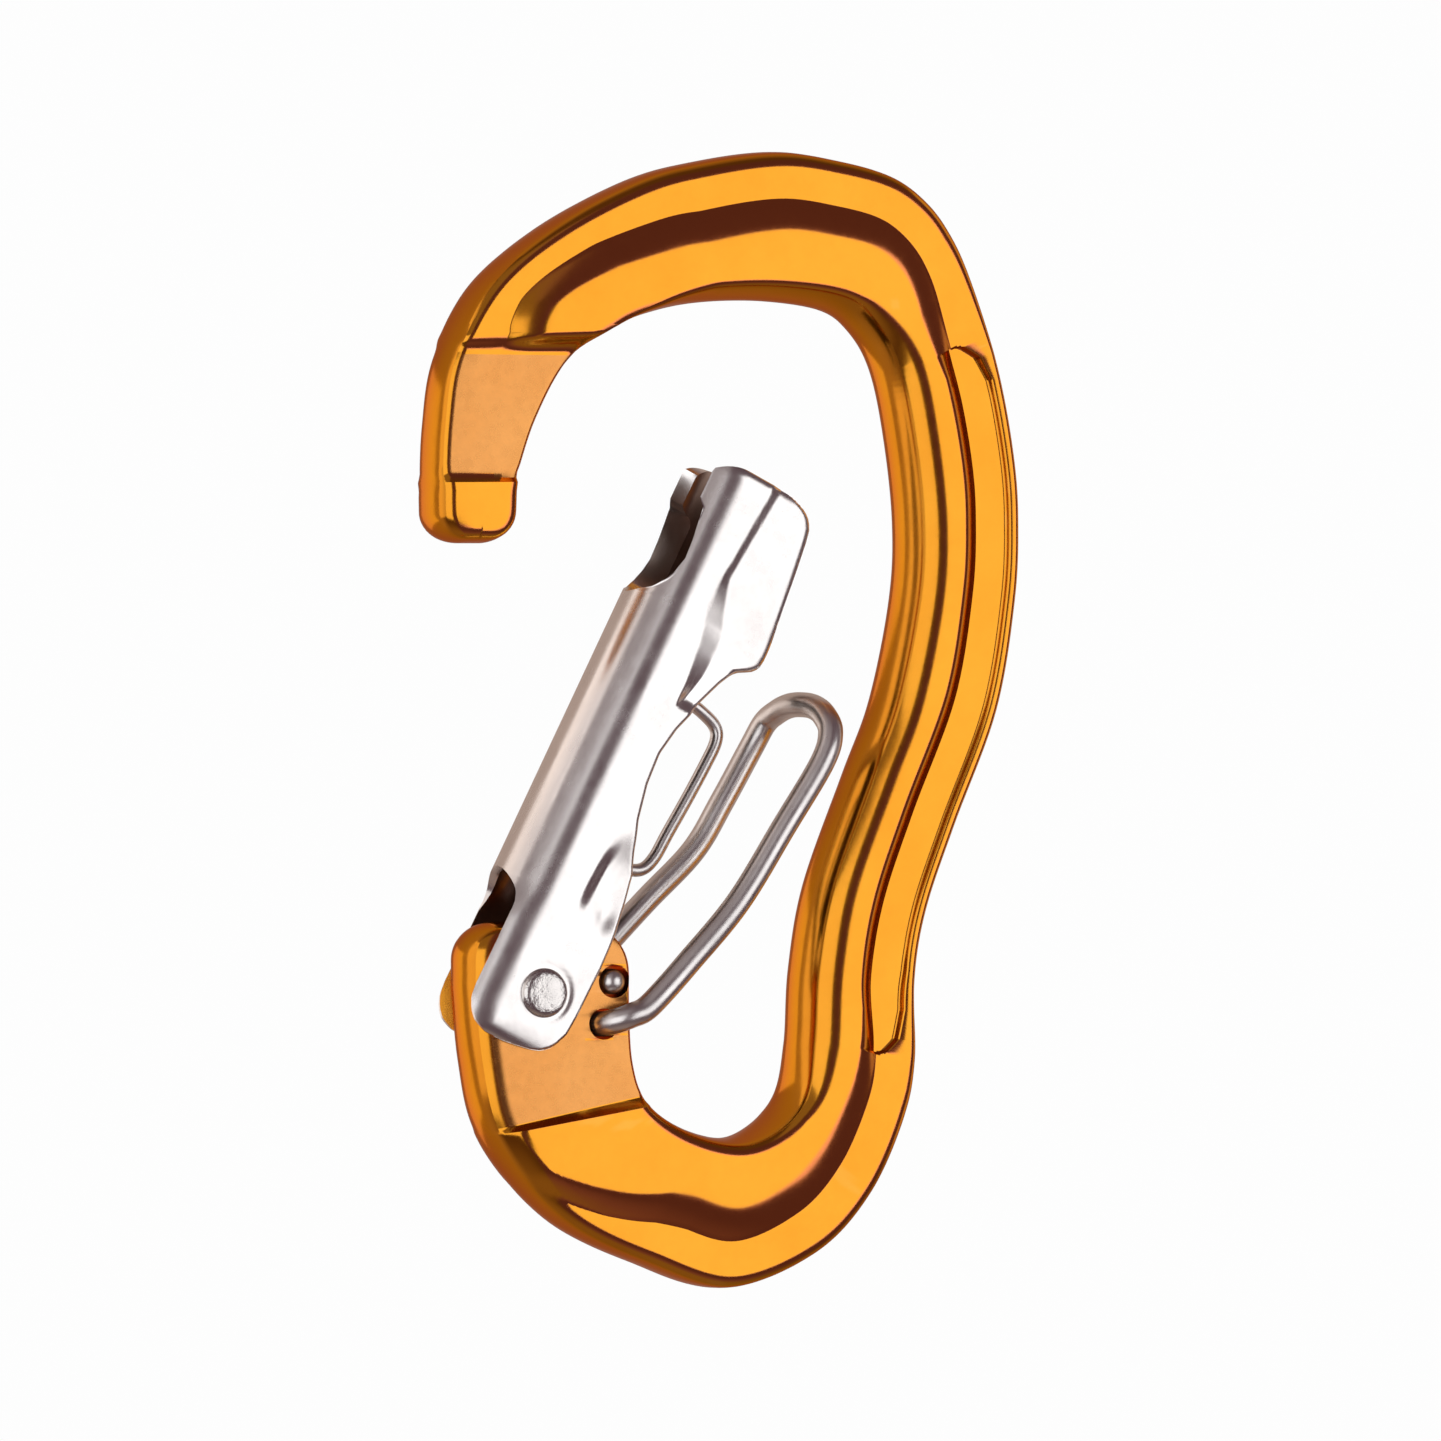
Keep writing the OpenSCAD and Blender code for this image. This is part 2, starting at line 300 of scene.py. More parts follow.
# Matching places on the inner and the outer edge, nose to tail. Rungs 5 and 6 are the foot and the top
# of the nose's step, 12 and 20 the ends of the spine pocket, 26 and 27 the top and the foot of the
# tail's step.
RUNGS = [[(-24.64, -22.29), (-26.9, -22.3)], [(-22.8, -21.4), (-29.0, -21.4)],
         [(-21.9, -19.2), (-29.9, -19.2)], [(-21.8, -16.1), (-29.85, -16.2)], [(-20, -11), (-29.5, -11)],
         [(-16.2, -5.1), (-28.45, -5.1)], [(-12.9, -2.85), (-27.6, -3.4)], [(-8, -1.1), (-17.5, 7.1)],
         [(-2.7, -0.15), (-5.2, 12.3)], [(3.6, 0), (4.3, 13.7)], [(9.6, -0.8), (14, 12.2)],
         [(12.7, -2.8), (21.1, 6.9)], [(14.9, -6.3), (24.6, -1.6)], [(16.3, -12.3), (27.1, -11)],
         [(17.2, -20), (28.05, -20)], [(16.9, -27), (27.5, -28.5)], [(14.9, -36.2), (25.2, -39.5)],
         [(12.1, -43.2), (22.3, -46.5)], [(8.2, -53.2), (18.8, -55.5)], [(6.7, -61), (17.5, -62.3)],
         [(6.3, -67.5), (17.6, -70.5)], [(5.6, -72.4), (15.6, -77.5)], [(3.2, -75.2), (10.3, -85)],
         [(-0.6, -76.5), (-1.0, -90.2)], [(-4.5, -75.7), (-10.5, -87.3)],
         [(-7.4, -74.5), (-20.2, -81.3)], [(-8.8, -73.4), (-24.35, -75.9)],
         [(-9.6, -72.4), (-24.6, -75.4)], [(-10.5, -69.8), (-25.9, -70.6)], [(-10.9, -65), (-26.7, -65)],
         [(-10.95, -61.6), (-26.9, -61.2)], [(-12.1, -58.2), (-25.9, -57.7)],
         [(-15.6, -56.58), (-23.4, -56.6)]]


# rungs where each feature starts and stops
NOSE_STEP, POCKET_TOP, POCKET_FOOT, TAIL_STEP = (5, 6), (12.0, 12.75), (19.2, 20.0), (26, 27)
# distances between the stations along the body, in millimetres, and those near its two ends
END_STATIONS = np.array([0, 0.012, 0.05, 0.11, 0.2, 0.32, 0.48, 0.68, 0.9, 1.15, 1.45, 1.8])
STATION, TAIL_STATION, POCKET_STATION = 0.42, 0.2, 0.13
TAIL_LENGTH = 13


def pairs():
    """Matching points on the inner and the outer edge at every station, and the stations' rung numbers."""
    inner, outer = Path(INNER), Path(OUTER)
    si = [inner.find(np.array(a)) for a, b in RUNGS]
    so = [outer.find(np.array(b)) for a, b in RUNGS]
    si[0] = so[0] = 0.0
    si[-1], so[-1] = inner.length, outer.length
    k = np.arange(len(RUNGS), dtype=float)
    fine = np.linspace(0, k[-1], 6000)
    a, b = inner.at(pchip(fine, k, si)), outer.at(pchip(fine, k, so))
    mid = (a + b) / 2
    run = np.r_[0, np.cumsum(np.linalg.norm(np.diff(mid, axis=0), axis=1))]
    total = run[-1]
    pos = list(END_STATIONS) + list(total - END_STATIONS[::-1])
    pos += list(np.arange(2.15, total - TAIL_LENGTH, STATION))
    pos += list(np.arange(total - TAIL_LENGTH, total - 2.0, TAIL_STATION))
    for rung in NOSE_STEP + TAIL_STEP:
        here = np.interp(rung, fine, run)
        pos += [here - 0.05, here + 0.05]
    for start, stop in (POCKET_TOP, POCKET_FOOT):
        pos += list(np.arange(np.interp(start, fine, run), np.interp(stop, fine, run), POCKET_STATION))
    pos = np.unique(np.round(pos, 4))
    t = np.interp(pos, run, fine)
    return inner.at(pchip(t, k, si)), outer.at(pchip(t, k, so)), t


def table(t, rows):
    """Value along the rungs: rows of (rung, value), straight between."""
    return np.interp(t, [r[0] for r in rows], [r[1] for r in rows])


# Measures along the body, as (rung, millimetres). valley is the flange's width and slope the width of the
# rise to the rib; wall is the pocket's distance from the outer edge, 99 where there is none, and floor
# half the thickness in it.
# b is a flat bevel's width at an edge, r the width of the rounding inside it, and round its radius.
PROFILE = {
    "valley": [(0, 4.5), (6, 4.6), (6.4, 3.6), (7, 3.5), (8, 4.4), (22, 4.5), (23.6, 4.3), (24, 3.8),
               (24.6, 2.2), (25.0, 0.7), (25.2, 0.0), (33, 0.0)],
    "slope": [(0, 3.0), (8, 3.2), (11.5, 3.0), (12.4, 1.75), (19.4, 1.7), (20.3, 2.6), (22, 3.5), (24, 3.4),
              (25.2, 2.3), (26, 1.7), (27, 1.2), (33, 1.0)],
    "floor": [(0, 2.85), (12.3, 2.85), (12.7, 3.0), (18.6, 3.0), (19.1, 2.85), (33, 2.85)],
    "wall": [(0, 99), (12.08, 4.6), (12.14, 3.2), (12.3, 1.9), (12.55, 1.3), (18.9, 1.25), (19.35, 1.5),
             (19.7, 2.3), (19.86, 3.4), (19.95, 4.6), (20.2, 99)],
    "b_out": [(0, 0.3), (3, 0.35), (6, 0.35), (8, 0.15), (23, 0.15), (26, 0.4), (29, 0.6), (33, 0.5)],
    "r_out": [(0, 1.2), (2.6, 1.2), (3.2, 0.8), (5.9, 0.8), (7, 1.3), (8, 1.6), (11, 1.5), (12.3, 0.55),
              (19.2, 0.55), (20.5, 1.3), (24.8, 1.2), (26.4, 1.9), (33, 2.1)],
    "round_out": [(0, 1.25), (2.6, 1.25), (3.2, 1.2), (5.9, 1.2), (7, 1.5), (8, 1.6), (11, 1.5), (12.3, 0.55),
                  (19.2, 0.55), (20.5, 1.3), (24.8, 1.3), (26.4, 3.1), (33, 3.5)],
    "b_in": [(0, 0.3), (6.2, 0.25), (7, 0.5), (8, 1.1), (10.5, 1.2), (12, 0.9), (20, 0.85), (21.5, 0.5),
             (26, 0.5), (27, 0.3), (33, 0.3)],
    "r_in": [(0, 1.0), (2.6, 1.0), (3.2, 0.4), (6, 0.4), (6.6, 0.6), (8, 0.8), (10.3, 0.9), (12, 2.3),
             (20, 2.4), (21.5, 1.3), (26, 1.3), (27.2, 0.4), (33, 0.4)],
    "round_in": [(0, 1.0), (2.6, 1.0), (3.2, 0.4), (6, 0.4), (6.6, 0.7), (8, 0.9), (10.3, 1.0), (12, 3.1),
                 (20, 3.2), (21.5, 1.5), (26, 1.5), (27.2, 0.4), (33, 0.4)],
}
# half thicknesses, and how much thinner the flange is at the rib than at the outer edge
RIB, FLANGE, NOSE_WEB, KNOB, TAIL_WEB = 4.5, 3.5, 3.0, 3.5, 3.5
FLANGE_TAPER = 0.12
# Z of the knob's upper edge, and the (x, z) of the tail's two wire holes
KNOB_TOP = -16.25
LOW_HOLE, HIGH_HOLE = (-13.85, -65.9), (-12.8, -62.05)
HOLE_RELIEF_R, HOLE_RELIEF_DEPTH = 1.95, 0.2


def hole_relief(x, z):
    """How far the tail's face sinks in the long hollow that joins the two wire holes."""
    ax, az = LOW_HOLE[0] - 0.35, LOW_HOLE[1] + 0.3
    bx, bz = HIGH_HOLE[0] - 0.35, HIGH_HOLE[1] - 0.3
    k = ((x - ax) * (bx - ax) + (z - az) * (bz - az)) / ((bx - ax) ** 2 + (bz - az) ** 2)
    k = np.clip(k, 0, 1)
    d = np.hypot(x - ax - k * (bx - ax), z - az - k * (bz - az))
    return HOLE_RELIEF_DEPTH * smooth((HOLE_RELIEF_R - d) / 0.4)


def body_height(t, u, x, z, q):
    """Half thickness before the edges are rounded, at distance u from the outer edge."""
    v, sw, wall = q["valley"][:, None], q["slope"][:, None], q["wall"][:, None]
    pocket = smooth((v - wall) / 0.5)
    flange = FLANGE - FLANGE_TAPER * np.clip(u / np.maximum(v, 0.5), 0, 1)
    sunk = smooth((u - wall + 0.25) / 0.5) * pocket
    deep = q["floor"][:, None]
    low = flange + (deep - flange) * sunk
    base = FLANGE - FLANGE_TAPER + (deep - FLANGE + FLANGE_TAPER) * pocket
    ramp = np.clip((u - v) / sw, 0, 1)
    high = base + (RIB - base) * (1 - (1 - ramp) ** 1.45)
    h = np.where(u < v, low, high)
    rung = t[:, None] * np.ones_like(u)
    nose = smooth((rung - NOSE_STEP[0] - 0.02) / 0.93)
    h = np.where(rung < 6.2, NOSE_WEB + (h - NOSE_WEB) * nose, h)
    h = h + (KNOB - h) * smooth((KNOB_TOP - z) / 0.4) * (rung < 5)
    # the tail's step is sharp, but runs out slowly at the outer edge
    tail = smooth((rung - TAIL_STEP[0] - 0.03) / 0.94)
    slow = smooth((rung - 24.9) / 2.07)
    tail = tail + (slow - tail) * smooth((2.9 - u) / 2.6) * (rung < 26.97)
    h = h + (TAIL_WEB - h) * tail
    return h - hole_relief(x, z) * (rung > TAIL_STEP[1])


# places of the points across a rounded edge, from the edge inwards
OUT_EDGE = np.array([0, 0.02, 0.07, 0.15, 0.25, 0.37, 0.5, 0.64, 0.78, 0.9, 1.0])
IN_EDGE = np.array([1.0, 0.9, 0.8, 0.7, 0.6, 0.5, 0.4, 0.31, 0.23, 0.16, 0.1, 0.05, 0.02, 0.0])
# the flange and the rise get narrower in proportion where the body is narrower than this
FULL_WIDTH = 8.3
# angle in degrees from which an edge is drawn sharp
BODY_CREASE = 30.0


def across(q, k, w):
    """Distances from the outer edge of the points across the body at station k, where it is w wide."""
    eo = OUT_EDGE * (q["b_out"][k] + q["r_out"][k])
    ei = IN_EDGE * (q["b_in"][k] + q["r_in"][k])
    narrow = min(1, w / FULL_WIDTH)
    v = np.clip(q["valley"][k], 2.6, 4.6) * narrow
    sw = q["slope"][k] * narrow
    wall = np.clip(q["wall"][k], eo[-1] + 0.3, v - 0.8)
    u = np.r_[eo, np.linspace(wall - 0.26, wall + 0.26, 7), np.linspace(wall + 0.4, v - 0.1, 5), v - 0.02,
              np.linspace(v + 0.04, v + sw, 8), np.linspace(v + sw, w - ei[0], 9)[1:], w - ei[1:]]
    return np.maximum.accumulate(u)


def rounded(h, d, flat, reach, radius):
    """Height h with its edge rounded: d is the distance from the edge, flat the bevel, reach the rounding."""
    into = np.clip(reach - (d - flat), 0, reach)
    drop = radius - np.sqrt(np.maximum(radius ** 2 - into ** 2, 0))
    corner = h - (radius - np.sqrt(np.maximum(radius ** 2 - reach ** 2, 0)))
    return np.where(d < flat, corner * np.sqrt(np.clip(d / flat, 0, 1)), h - drop)


def is_machined(face):
    """True on the flat faces of the nose and the tail, which are milled after forging."""
    c = face.center / MM
    nose = c.x < -14 and -16.4 < c.z < -5.3
    tail = c.x < -9 and -75.3 + 0.2 * (c.x + 24.6) < c.z < -56
    return (nose or tail) and abs(face.normal.y) > 0.97


def body_piece():
    """The forging, from a grid of points across it at each station; the far side mirrors the near one."""
    a, b, t = pairs()
    width = np.linalg.norm(b - a, axis=1)
    q = {name: table(t, rows) for name, rows in PROFILE.items()}
    u = np.array([across(q, k, width[k]) for k in range(len(t))])
    frac = u / width[:, None]
    x = b[:, 0:1] + (a[:, 0:1] - b[:, 0:1]) * frac
    z = b[:, 1:2] + (a[:, 1:2] - b[:, 1:2]) * frac
    h = body_height(t, u, x, z, q)
    d = edge_distance(np.stack([x.ravel(), z.ravel()], 1), np.vstack([a, b[::-1]])).reshape(x.shape)
    d[:, [0, -1]] = 0
    d[[0, -1], :] = 0
    flat, reach, radius = (np.where(frac > 0.5, q[key + "_in"][:, None], q[key + "_out"][:, None])
                           for key in ("b", "r", "round"))
    y = rounded(h, d, flat, reach, radius)
    rows, n = x.shape
    near = np.stack([x, -y, z], -1).reshape(-1, 3)
    far = np.stack([x, y, z], -1).reshape(-1, 3)
    faces = grid_faces(rows, n) + grid_faces(rows, n, rows * n, True)
    ob = make_object("forged_body", np.vstack([near, far]), faces, ANODISED, BODY_CREASE)
    ob.data.materials.append(WEB)
    for face in ob.data.polygons:
        if is_machined(face):
            face.material_index = 1
    return ob


def drill(ob, name, place, radius):
    """Cuts a round hole along Y."""
    x, z = place
    bm = bmesh.new()
    bmesh.ops.create_cone(bm, cap_ends=True, segments=72, radius1=radius * MM, radius2=radius * MM,
                          depth=20 * MM)
    bmesh.ops.rotate(bm, verts=bm.verts, cent=(0, 0, 0),
                     matrix=Matrix.Rotation(math.pi / 2, 3, "X"))
    bmesh.ops.translate(bm, verts=bm.verts, vec=(x * MM, 0, z * MM))
    me = bpy.data.meshes.new(name)
    bm.to_mesh(me)
    bm.free()
    me.materials.append(ANODISED)
    cutter = bpy.data.objects.new(name, me)
    bpy.context.scene.collection.objects.link(cutter)
    mod = ob.modifiers.new("cut", "BOOLEAN")
    mod.operation = "DIFFERENCE"
    mod.solver = "EXACT"
    mod.object = cutter
    dg = bpy.context.evaluated_depsgraph_get()
    new = bpy.data.meshes.new_from_object(ob.evaluated_get(dg))
    ob.modifiers.clear()
    old = ob.data
    ob.data = new
    bpy.data.meshes.remove(old)
    bpy.data.objects.remove(cutter)


PIVOT = (-20.2, -63.0)
body = body_piece()
for label, place, hole_r in (("pivot", PIVOT, 1.55), ("low", LOW_HOLE, 1.42), ("high", HIGH_HOLE, 1.5)):
    drill(body, "cut_" + label, place, hole_r)
body.data.shade_smooth()
body.data.set_sharp_from_angle(angle=math.radians(BODY_CREASE))
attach(body, "forging")
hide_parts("body")

# ---------------------------------------------------------------- gate
# The gate is drawn in its own axes, with the pivot at 0: u runs up along it, and v across it, from the
# rolled back to the free edge. LEAN is its angle from Z when it is open, ROLL_V the roll's centre, R_OUT
# and R_IN the roll's two radii, SHEET the sheet's thickness and MIN_SHEET the least left of it.
LEAN = math.radians(27)
ROLL_V, R_OUT, R_IN, SHEET = -3.1, 4.55, 3.75, 0.8
MIN_SHEET = 0.12
# u at the sheet's two ends, and at the two ends of the closed back
GATE_LOW, GATE_TOP = -5.6, 51.5
ROLL_LOW, ROLL_TOP = 9.0, 37.0
# steps between the gate's stations: the usual one, those near its ends, and places that need their own
GATE_STATION = 0.36
GATE_ENDS = np.array([0, 0.03, 0.1, 0.2, 0.35, 0.55, 0.8, 1.1, 1.5])
GATE_CORNERS = [8.55, 8.8, 8.93, 37.04, 37.12, 37.25, 46.6, 46.8, 47.0, 47.3]
# the sheet's inner faces get a painted shade from here up
SHADE_INSIDE_FROM = 3.5
PANEL_STEP, RING_R = 0.62, 2.45
# (u, v) along the free edge, from the ear to the upper corner
FREE_EDGE = [(-5.6, -2.4), (-5.55, -1.4), (-5.3, 0.1), (-4.95, 1.9), (-4.3, 2.85), (-3.6, 3.35), (-2.3, 3.8),
             (-0.5, 3.95), (4.5, 4.1), (8.2, 4.0), (10.8, 3.8), (13.4, 3.3), (15.5, 2.3), (18.2, 1.3),
             (21.5, 0.62), (24.5, 0.45), (27.2, 0.95), (30.2, 2.0), (33.0, 3.1), (34.2, 3.75), (34.8, 4.4),
             (35.3, 5.4), (36.0, 6.0), (37.2, 6.15), (38.2, 6.1), (43.2, 5.5), (48.3, 4.9), (49.6, 4.65),
             (50.3, 4.2), (50.8, 3.6), (51.2, 2.8), (51.5, 1.9)]
# (u, degrees) where the roll stops below the upper window; 90 is the middle of the back
ROLL_END = [(-5.6, 2), (-5.55, 6), (-5.1, 20.6), (-4.6, 28), (-4.1, 33), (-3.3, 39), (-2, 41), (4.6, 40),
            (6.2, 40), (7.0, 43), (7.4, 46), (7.9, 52), (8.3, 60), (8.7, 70), (8.9, 79), (9.0, 90)]
# (u, half width) of the upper window and the slot above it
WINDOW = [(37, 0), (37.15, 1.0), (37.4, 1.7), (38, 2.9), (39, 3.5), (40, 3.8), (41.5, 4.0), (43.5, 3.95),
          (46.6, 3.72), (47.3, 3.3), (50.3, 3.3)]
# (u, v) of the two edges of the step down to the upper panel
STEP_LEFT = [(29, -0.3), (31.3, -0.3), (33.6, -0.6), (35.5, -0.9), (38.2, -1.6), (40.8, -1.6), (43.5, -1.2),
             (47.8, -0.9), (51.5, -0.5)]
STEP_RIGHT = [(29, -0.2), (29.9, 0.4), (32.6, 1.2), (35.1, 1.5), (37.3, 1.3), (38.3, 0.8), (41.8, -0.5),
              (44.9, -0.2), (48.3, 0.2), (51.5, 0.5)]


def by_u(u, rows):
    """Value at u from rows of (u, value), straight between."""
    return np.interp(u, [r[0] for r in rows], [r[1] for r in rows])


def roll_end(u, radius):
    """Angle at which the rolled back stops: 90 degrees is the middle of the back."""
    low = by_u(u, ROLL_END)
    y = by_u(u, WINDOW)
    high = np.degrees(np.arccos(np.clip(y / radius, 0, 1)))
    high = high * np.sqrt(np.clip((GATE_TOP - u) / 1.2, 0.0004, 1))
    return np.where(u > ROLL_TOP, high, low)


def from_gate(u, v, y):
    """The frame's axes from the gate's own."""
    x = PIVOT[0] + v * math.cos(LEAN) + u * math.sin(LEAN)
    z = PIVOT[1] + u * math.cos(LEAN) - v * math.sin(LEAN)
    return x, y, z


def gate_relief(u, v, v_edge):
    """How far the outer face sits below the flat of the sheet.

    panel is the sunk upper panel, waist the hollow above the ear, ring the groove round the rivet with
    the pinch mark above it, and curl the rounding of the free edge and the two ends.
    """
    left, right = by_u(u, STEP_LEFT), by_u(u, STEP_RIGHT)
    wide = np.maximum(right - left, 0.15)
    free = smooth((43.0 - u) / 9.0)
    panel = (PANEL_STEP - 0.22 * smooth((u - 34.0) / 12.0)) * np.clip((right - left - 0.1) / 0.7, 0, 1)
    panel = panel * np.clip((v - left) / wide, 0, 1)
    waist = (PANEL_STEP * smooth((u - 6.3) / 5.0) * smooth((17.5 - u) / 5.0)
             * smooth((v + 1.1 - 0.07 * (u - 9)) / 1.7))
    r = np.hypot(u, v)
    ring = 0.10 * np.exp(-((r - RING_R) / 0.28) ** 2)
    ring = ring + 0.16 * np.exp(-((u - 8.8) / 1.7) ** 2 - ((v - 2.4) / 0.9) ** 2)
    reach = np.where(u > 34, 1.0, np.where(u > 14, 0.55, 0.4))
    depth = np.where(u > 34, 0.41 + 0.12 * free, 0.34)
    side = np.clip(1 - (v_edge - v) / reach, 0, 1)
    top = np.clip(1 - (GATE_TOP - u) / 1.1, 0, 1)
    low = np.clip(1 - (u - GATE_LOW) / 2.8, 0, 1)
    e = np.clip(np.sqrt(side ** 2 + top ** 2 + low ** 2), 0, 1)
    round_over = 1 - np.sqrt(1 - e ** 2 * 0.999)
    curl = np.maximum(depth, 0.6 * (low > 0)) * round_over
    return np.minimum(panel + waist + ring + curl, 0.66 + 0.40 * free)


def gate_half(sign):
    """Points, faces and flags for the inner faces painted with shade; sign is -1 for the near half and 1 for
    the far.

    The outer and the inner surface share one grid: 40 points over the flank, then 25 round the back.
    """
    between = np.arange(GATE_LOW + 1.8, GATE_TOP - 1.7, GATE_STATION)
    u = np.unique(np.round(np.r_[GATE_LOW + GATE_ENDS, between, GATE_TOP - GATE_ENDS, ROLL_LOW, ROLL_TOP,
                                 GATE_CORNERS], 3))
    v_edge = by_u(u, FREE_EDGE)
    a_end = roll_end(u, R_OUT)
    flat = 1 - np.linspace(0, 1, 40) ** 1.5
    v = ROLL_V + (v_edge - ROLL_V)[:, None] * flat[None, :]
    angle = np.radians(a_end)[:, None] * np.linspace(0, 1, 26)[None, 1:]
    in_angle = np.radians(roll_end(u, R_IN))[:, None] * np.linspace(0, 1, 26)[None, 1:]
    uu = np.repeat(u[:, None], v.shape[1] + angle.shape[1], 1)
    tube = smooth((u - 4.8) / 3.8)[:, None]
    out_v = np.hstack([v, ROLL_V - R_OUT * np.sin(angle)])
    keep = 0.76 + 0.24 * tube
    out_y = np.hstack([np.full_like(v, R_OUT), R_OUT - R_OUT * (1 - np.cos(angle)) * keep])
    in_v = np.hstack([v, ROLL_V - (R_IN + SHEET * (1 - tube)) * np.sin(in_angle)])
    in_y = np.hstack([np.full_like(v, R_IN), R_IN - (R_IN * (1 - np.cos(in_angle))) * tube
                      - 0.15 * (1 - tube) * np.sin(in_angle)])
    fade = np.hstack([np.ones_like(v), np.cos(angle) ** 2])
    relief = gate_relief(uu, out_v, np.repeat(v_edge[:, None], uu.shape[1], 1)) * fade
    press = smooth((43.0 - uu) / 9.0) * smooth((uu - 7.0) / 3.0) * fade
    in_y = in_y - np.clip(relief - 0.15, 0, 1) * press
    out_y = np.maximum(out_y - relief, in_y + MIN_SHEET * fade)
    rows, n = uu.shape
    outer = np.stack(from_gate(uu, out_v, sign * out_y), -1).reshape(-1, 3)
    inner = np.stack(from_gate(uu, in_v, sign * in_y), -1).reshape(-1, 3)
    off = rows * n
    faces = grid_faces(rows, n) + grid_faces(rows, n, off, True)
    closed = a_end > 89.99
    for i in range(rows - 1):
        p = i * n
        faces.append((p, p + n, off + p + n, off + p))
        if not (closed[i] and closed[i + 1]):
            p = i * n + n - 1
            faces.append((p + n, p, off + p, off + p + n))
    for j in range(n - 1):
        for p in (j, (rows - 1) * n + j):
            faces.append((p, off + p, off + p + 1, p + 1))
    # flags for the inner faces that get the painted shade
    shade_flags = np.repeat(u[:-1] > SHADE_INSIDE_FROM, n - 1).tolist()
    return np.vstack([outer, inner]), faces, shade_flags


def gate_shell():
    """Both halves of the sheet in one piece, with a painted shade on the inner faces."""
    near, faces, shade_flags = gate_half(-1)
    far, _, _ = gate_half(1)
    both = faces + [tuple(i + len(near) for i in f[::-1]) for f in faces]
    # the inner faces flagged here take the painted shade material
    inside = [False] * len(shade_flags) + shade_flags + [False] * (len(faces) - 2 * len(shade_flags))
    return make_object("gate_sheet", np.vstack([near, far]), both, GATE_STEEL, 32.0,
                       (GATE_SHADE_INSIDE, inside * 2))


# ---------------------------------------------------------------- round bar, rivet
# radii, and how far the legs and the eye stand from the middle plane
WIRE_R, WIRE_LEG = 1.15, 4.95
EYE_R, EYE_Y = 0.6, 3.14
BAR_CREASE = 40.0


def tube(name, points, radius, material, domed=(True, True), sides=28, last_way=None):
    """A round bar along the points, with domed or flat ends."""
    p = np.array(points, float)
    way = np.gradient(p, axis=0)
    if last_way is not None:
        way[-1] = last_way * np.sign(np.dot(last_way, way[-1]))
    way /= np.linalg.norm(way, axis=1)[:, None]
    ref = np.array([0.3, 0.2, 0.93])
    rings, spin = [], np.linspace(0, 2 * math.pi, sides, endpoint=False)
    for k in range(len(p)):
        ref = ref - way[k] * ref.dot(way[k])
        ref /= np.linalg.norm(ref)
        side = np.cross(way[k], ref)
        rings.append((p[k], way[k], ref.copy(), side, radius))
    dome = [(math.sin(a) * 0.75, math.cos(a)) for a in np.radians([15, 30, 45, 60, 72, 82])]
    first, last = rings[0], rings[-1]
    if domed[0]:
        rings = [(first[0] - first[1] * radius * h, *first[1:4], radius * r) for h, r in dome[::-1]] + rings
    if domed[1]:
        rings = rings + [(last[0] + last[1] * radius * h, *last[1:4], radius * r) for h, r in dome]
    verts = [c + r * (math.cos(a) * x + math.sin(a) * y) for c, _, x, y, r in rings for a in spin]
    faces = []
    for i in range(len(rings) - 1):
        for j in range(sides):
            k = (j + 1) % sides
            faces.append((i * sides + j, i * sides + k, (i + 1) * sides + k, (i + 1) * sides + j))
    faces.append(tuple(range(sides))[::-1])
    faces.append(tuple((len(rings) - 1) * sides + j for j in range(sides)))
    return make_object(name, verts, faces, material, BAR_CREASE)


def elbow(foot, way, side, bend=2.3, leg=WIRE_LEG):
    """Round corner from a foot along Y into a leg; side is -1 for the near leg."""
    way = np.array(way, float) / np.linalg.norm(way)
    out = []
    for angle in np.radians([0, 18, 36, 54, 72, 90]):
        s = bend * (1 - math.cos(angle))
        y = leg - bend + bend * math.sin(angle)
        out.append([foot[0] + way[0] * s, side * y, foot[1] + way[1] * s])
    return out


def wire_halves():
    """The two halves of the bent wire, each from its hole in the tail to the middle of the turn."""
    leg, turn, per = WIRE_LEG, [7.2, 0.0, -36.9], 9
    near = ([[LOW_HOLE[0], y, LOW_HOLE[1]] for y in (3.0, 1.0, -1.2)]
            + elbow(LOW_HOLE, (0.93, 0.36), -1)
            + [[-10.5, -leg, -64.6], [-9.0, -leg, -63.3], [-6.2, -leg, -60.4], [-1.2, -leg, -54.9],
               [3.4, -leg, -48], [7.2, -leg, -42.2], [8.35, -4.3, -39.5], [8.35, -2.9, -37.9],
               [7.9, -1.5, -37.1]])
    far = ([[HIGH_HOLE[0], y, HIGH_HOLE[1]] for y in (-3.0, -1.0, 1.2)]
           + elbow(HIGH_HOLE, (0.66, 0.75), 1)
           + [[-10.1, leg, -58.9], [-6, leg, -54.8], [-1.3, leg, -50.3], [1.6, leg, -45.8],
              [4.5, leg, -40.9], [5.6, 4.3, -38.6], [6.2, 2.9, -37.6], [6.7, 1.5, -37.05]])
    whole = spline(near + [turn] + far[::-1], per)
    split = len(near) * per
    for host, pts in (("near", whole[:split + 1]), ("far", whole[split:][::-1])):
        ob = tube("wire_%s_leg" % host, pts, WIRE_R, WIRE_STEEL, (True, False), 32,
                  whole[split + 1] - whole[split - 1])
        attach(ob, "wire_%s_half" % host)
        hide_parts("wire_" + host)


def eye_loop():
    """The D-shaped eye on the inside of the far flange, as (v, u) in the gate's axes."""
    path = [(0.6, 31.7), (3.0, 31.6), (5.6, 31.2), (7.2, 30.6), (7.85, 29.4), (7.85, 27), (7.65, 23.6),
            (7.35, 19.9), (7.15, 17.2), (6.5, 15.7), (5.0, 15.0), (3.0, 14.7), (1.2, 14.5)]
    pts = [from_gate(u, v, EYE_Y) for v, u in path]
    return tube("gate_eye", spline(pts, 8), EYE_R, WIRE_STEEL, (True, True), 20)


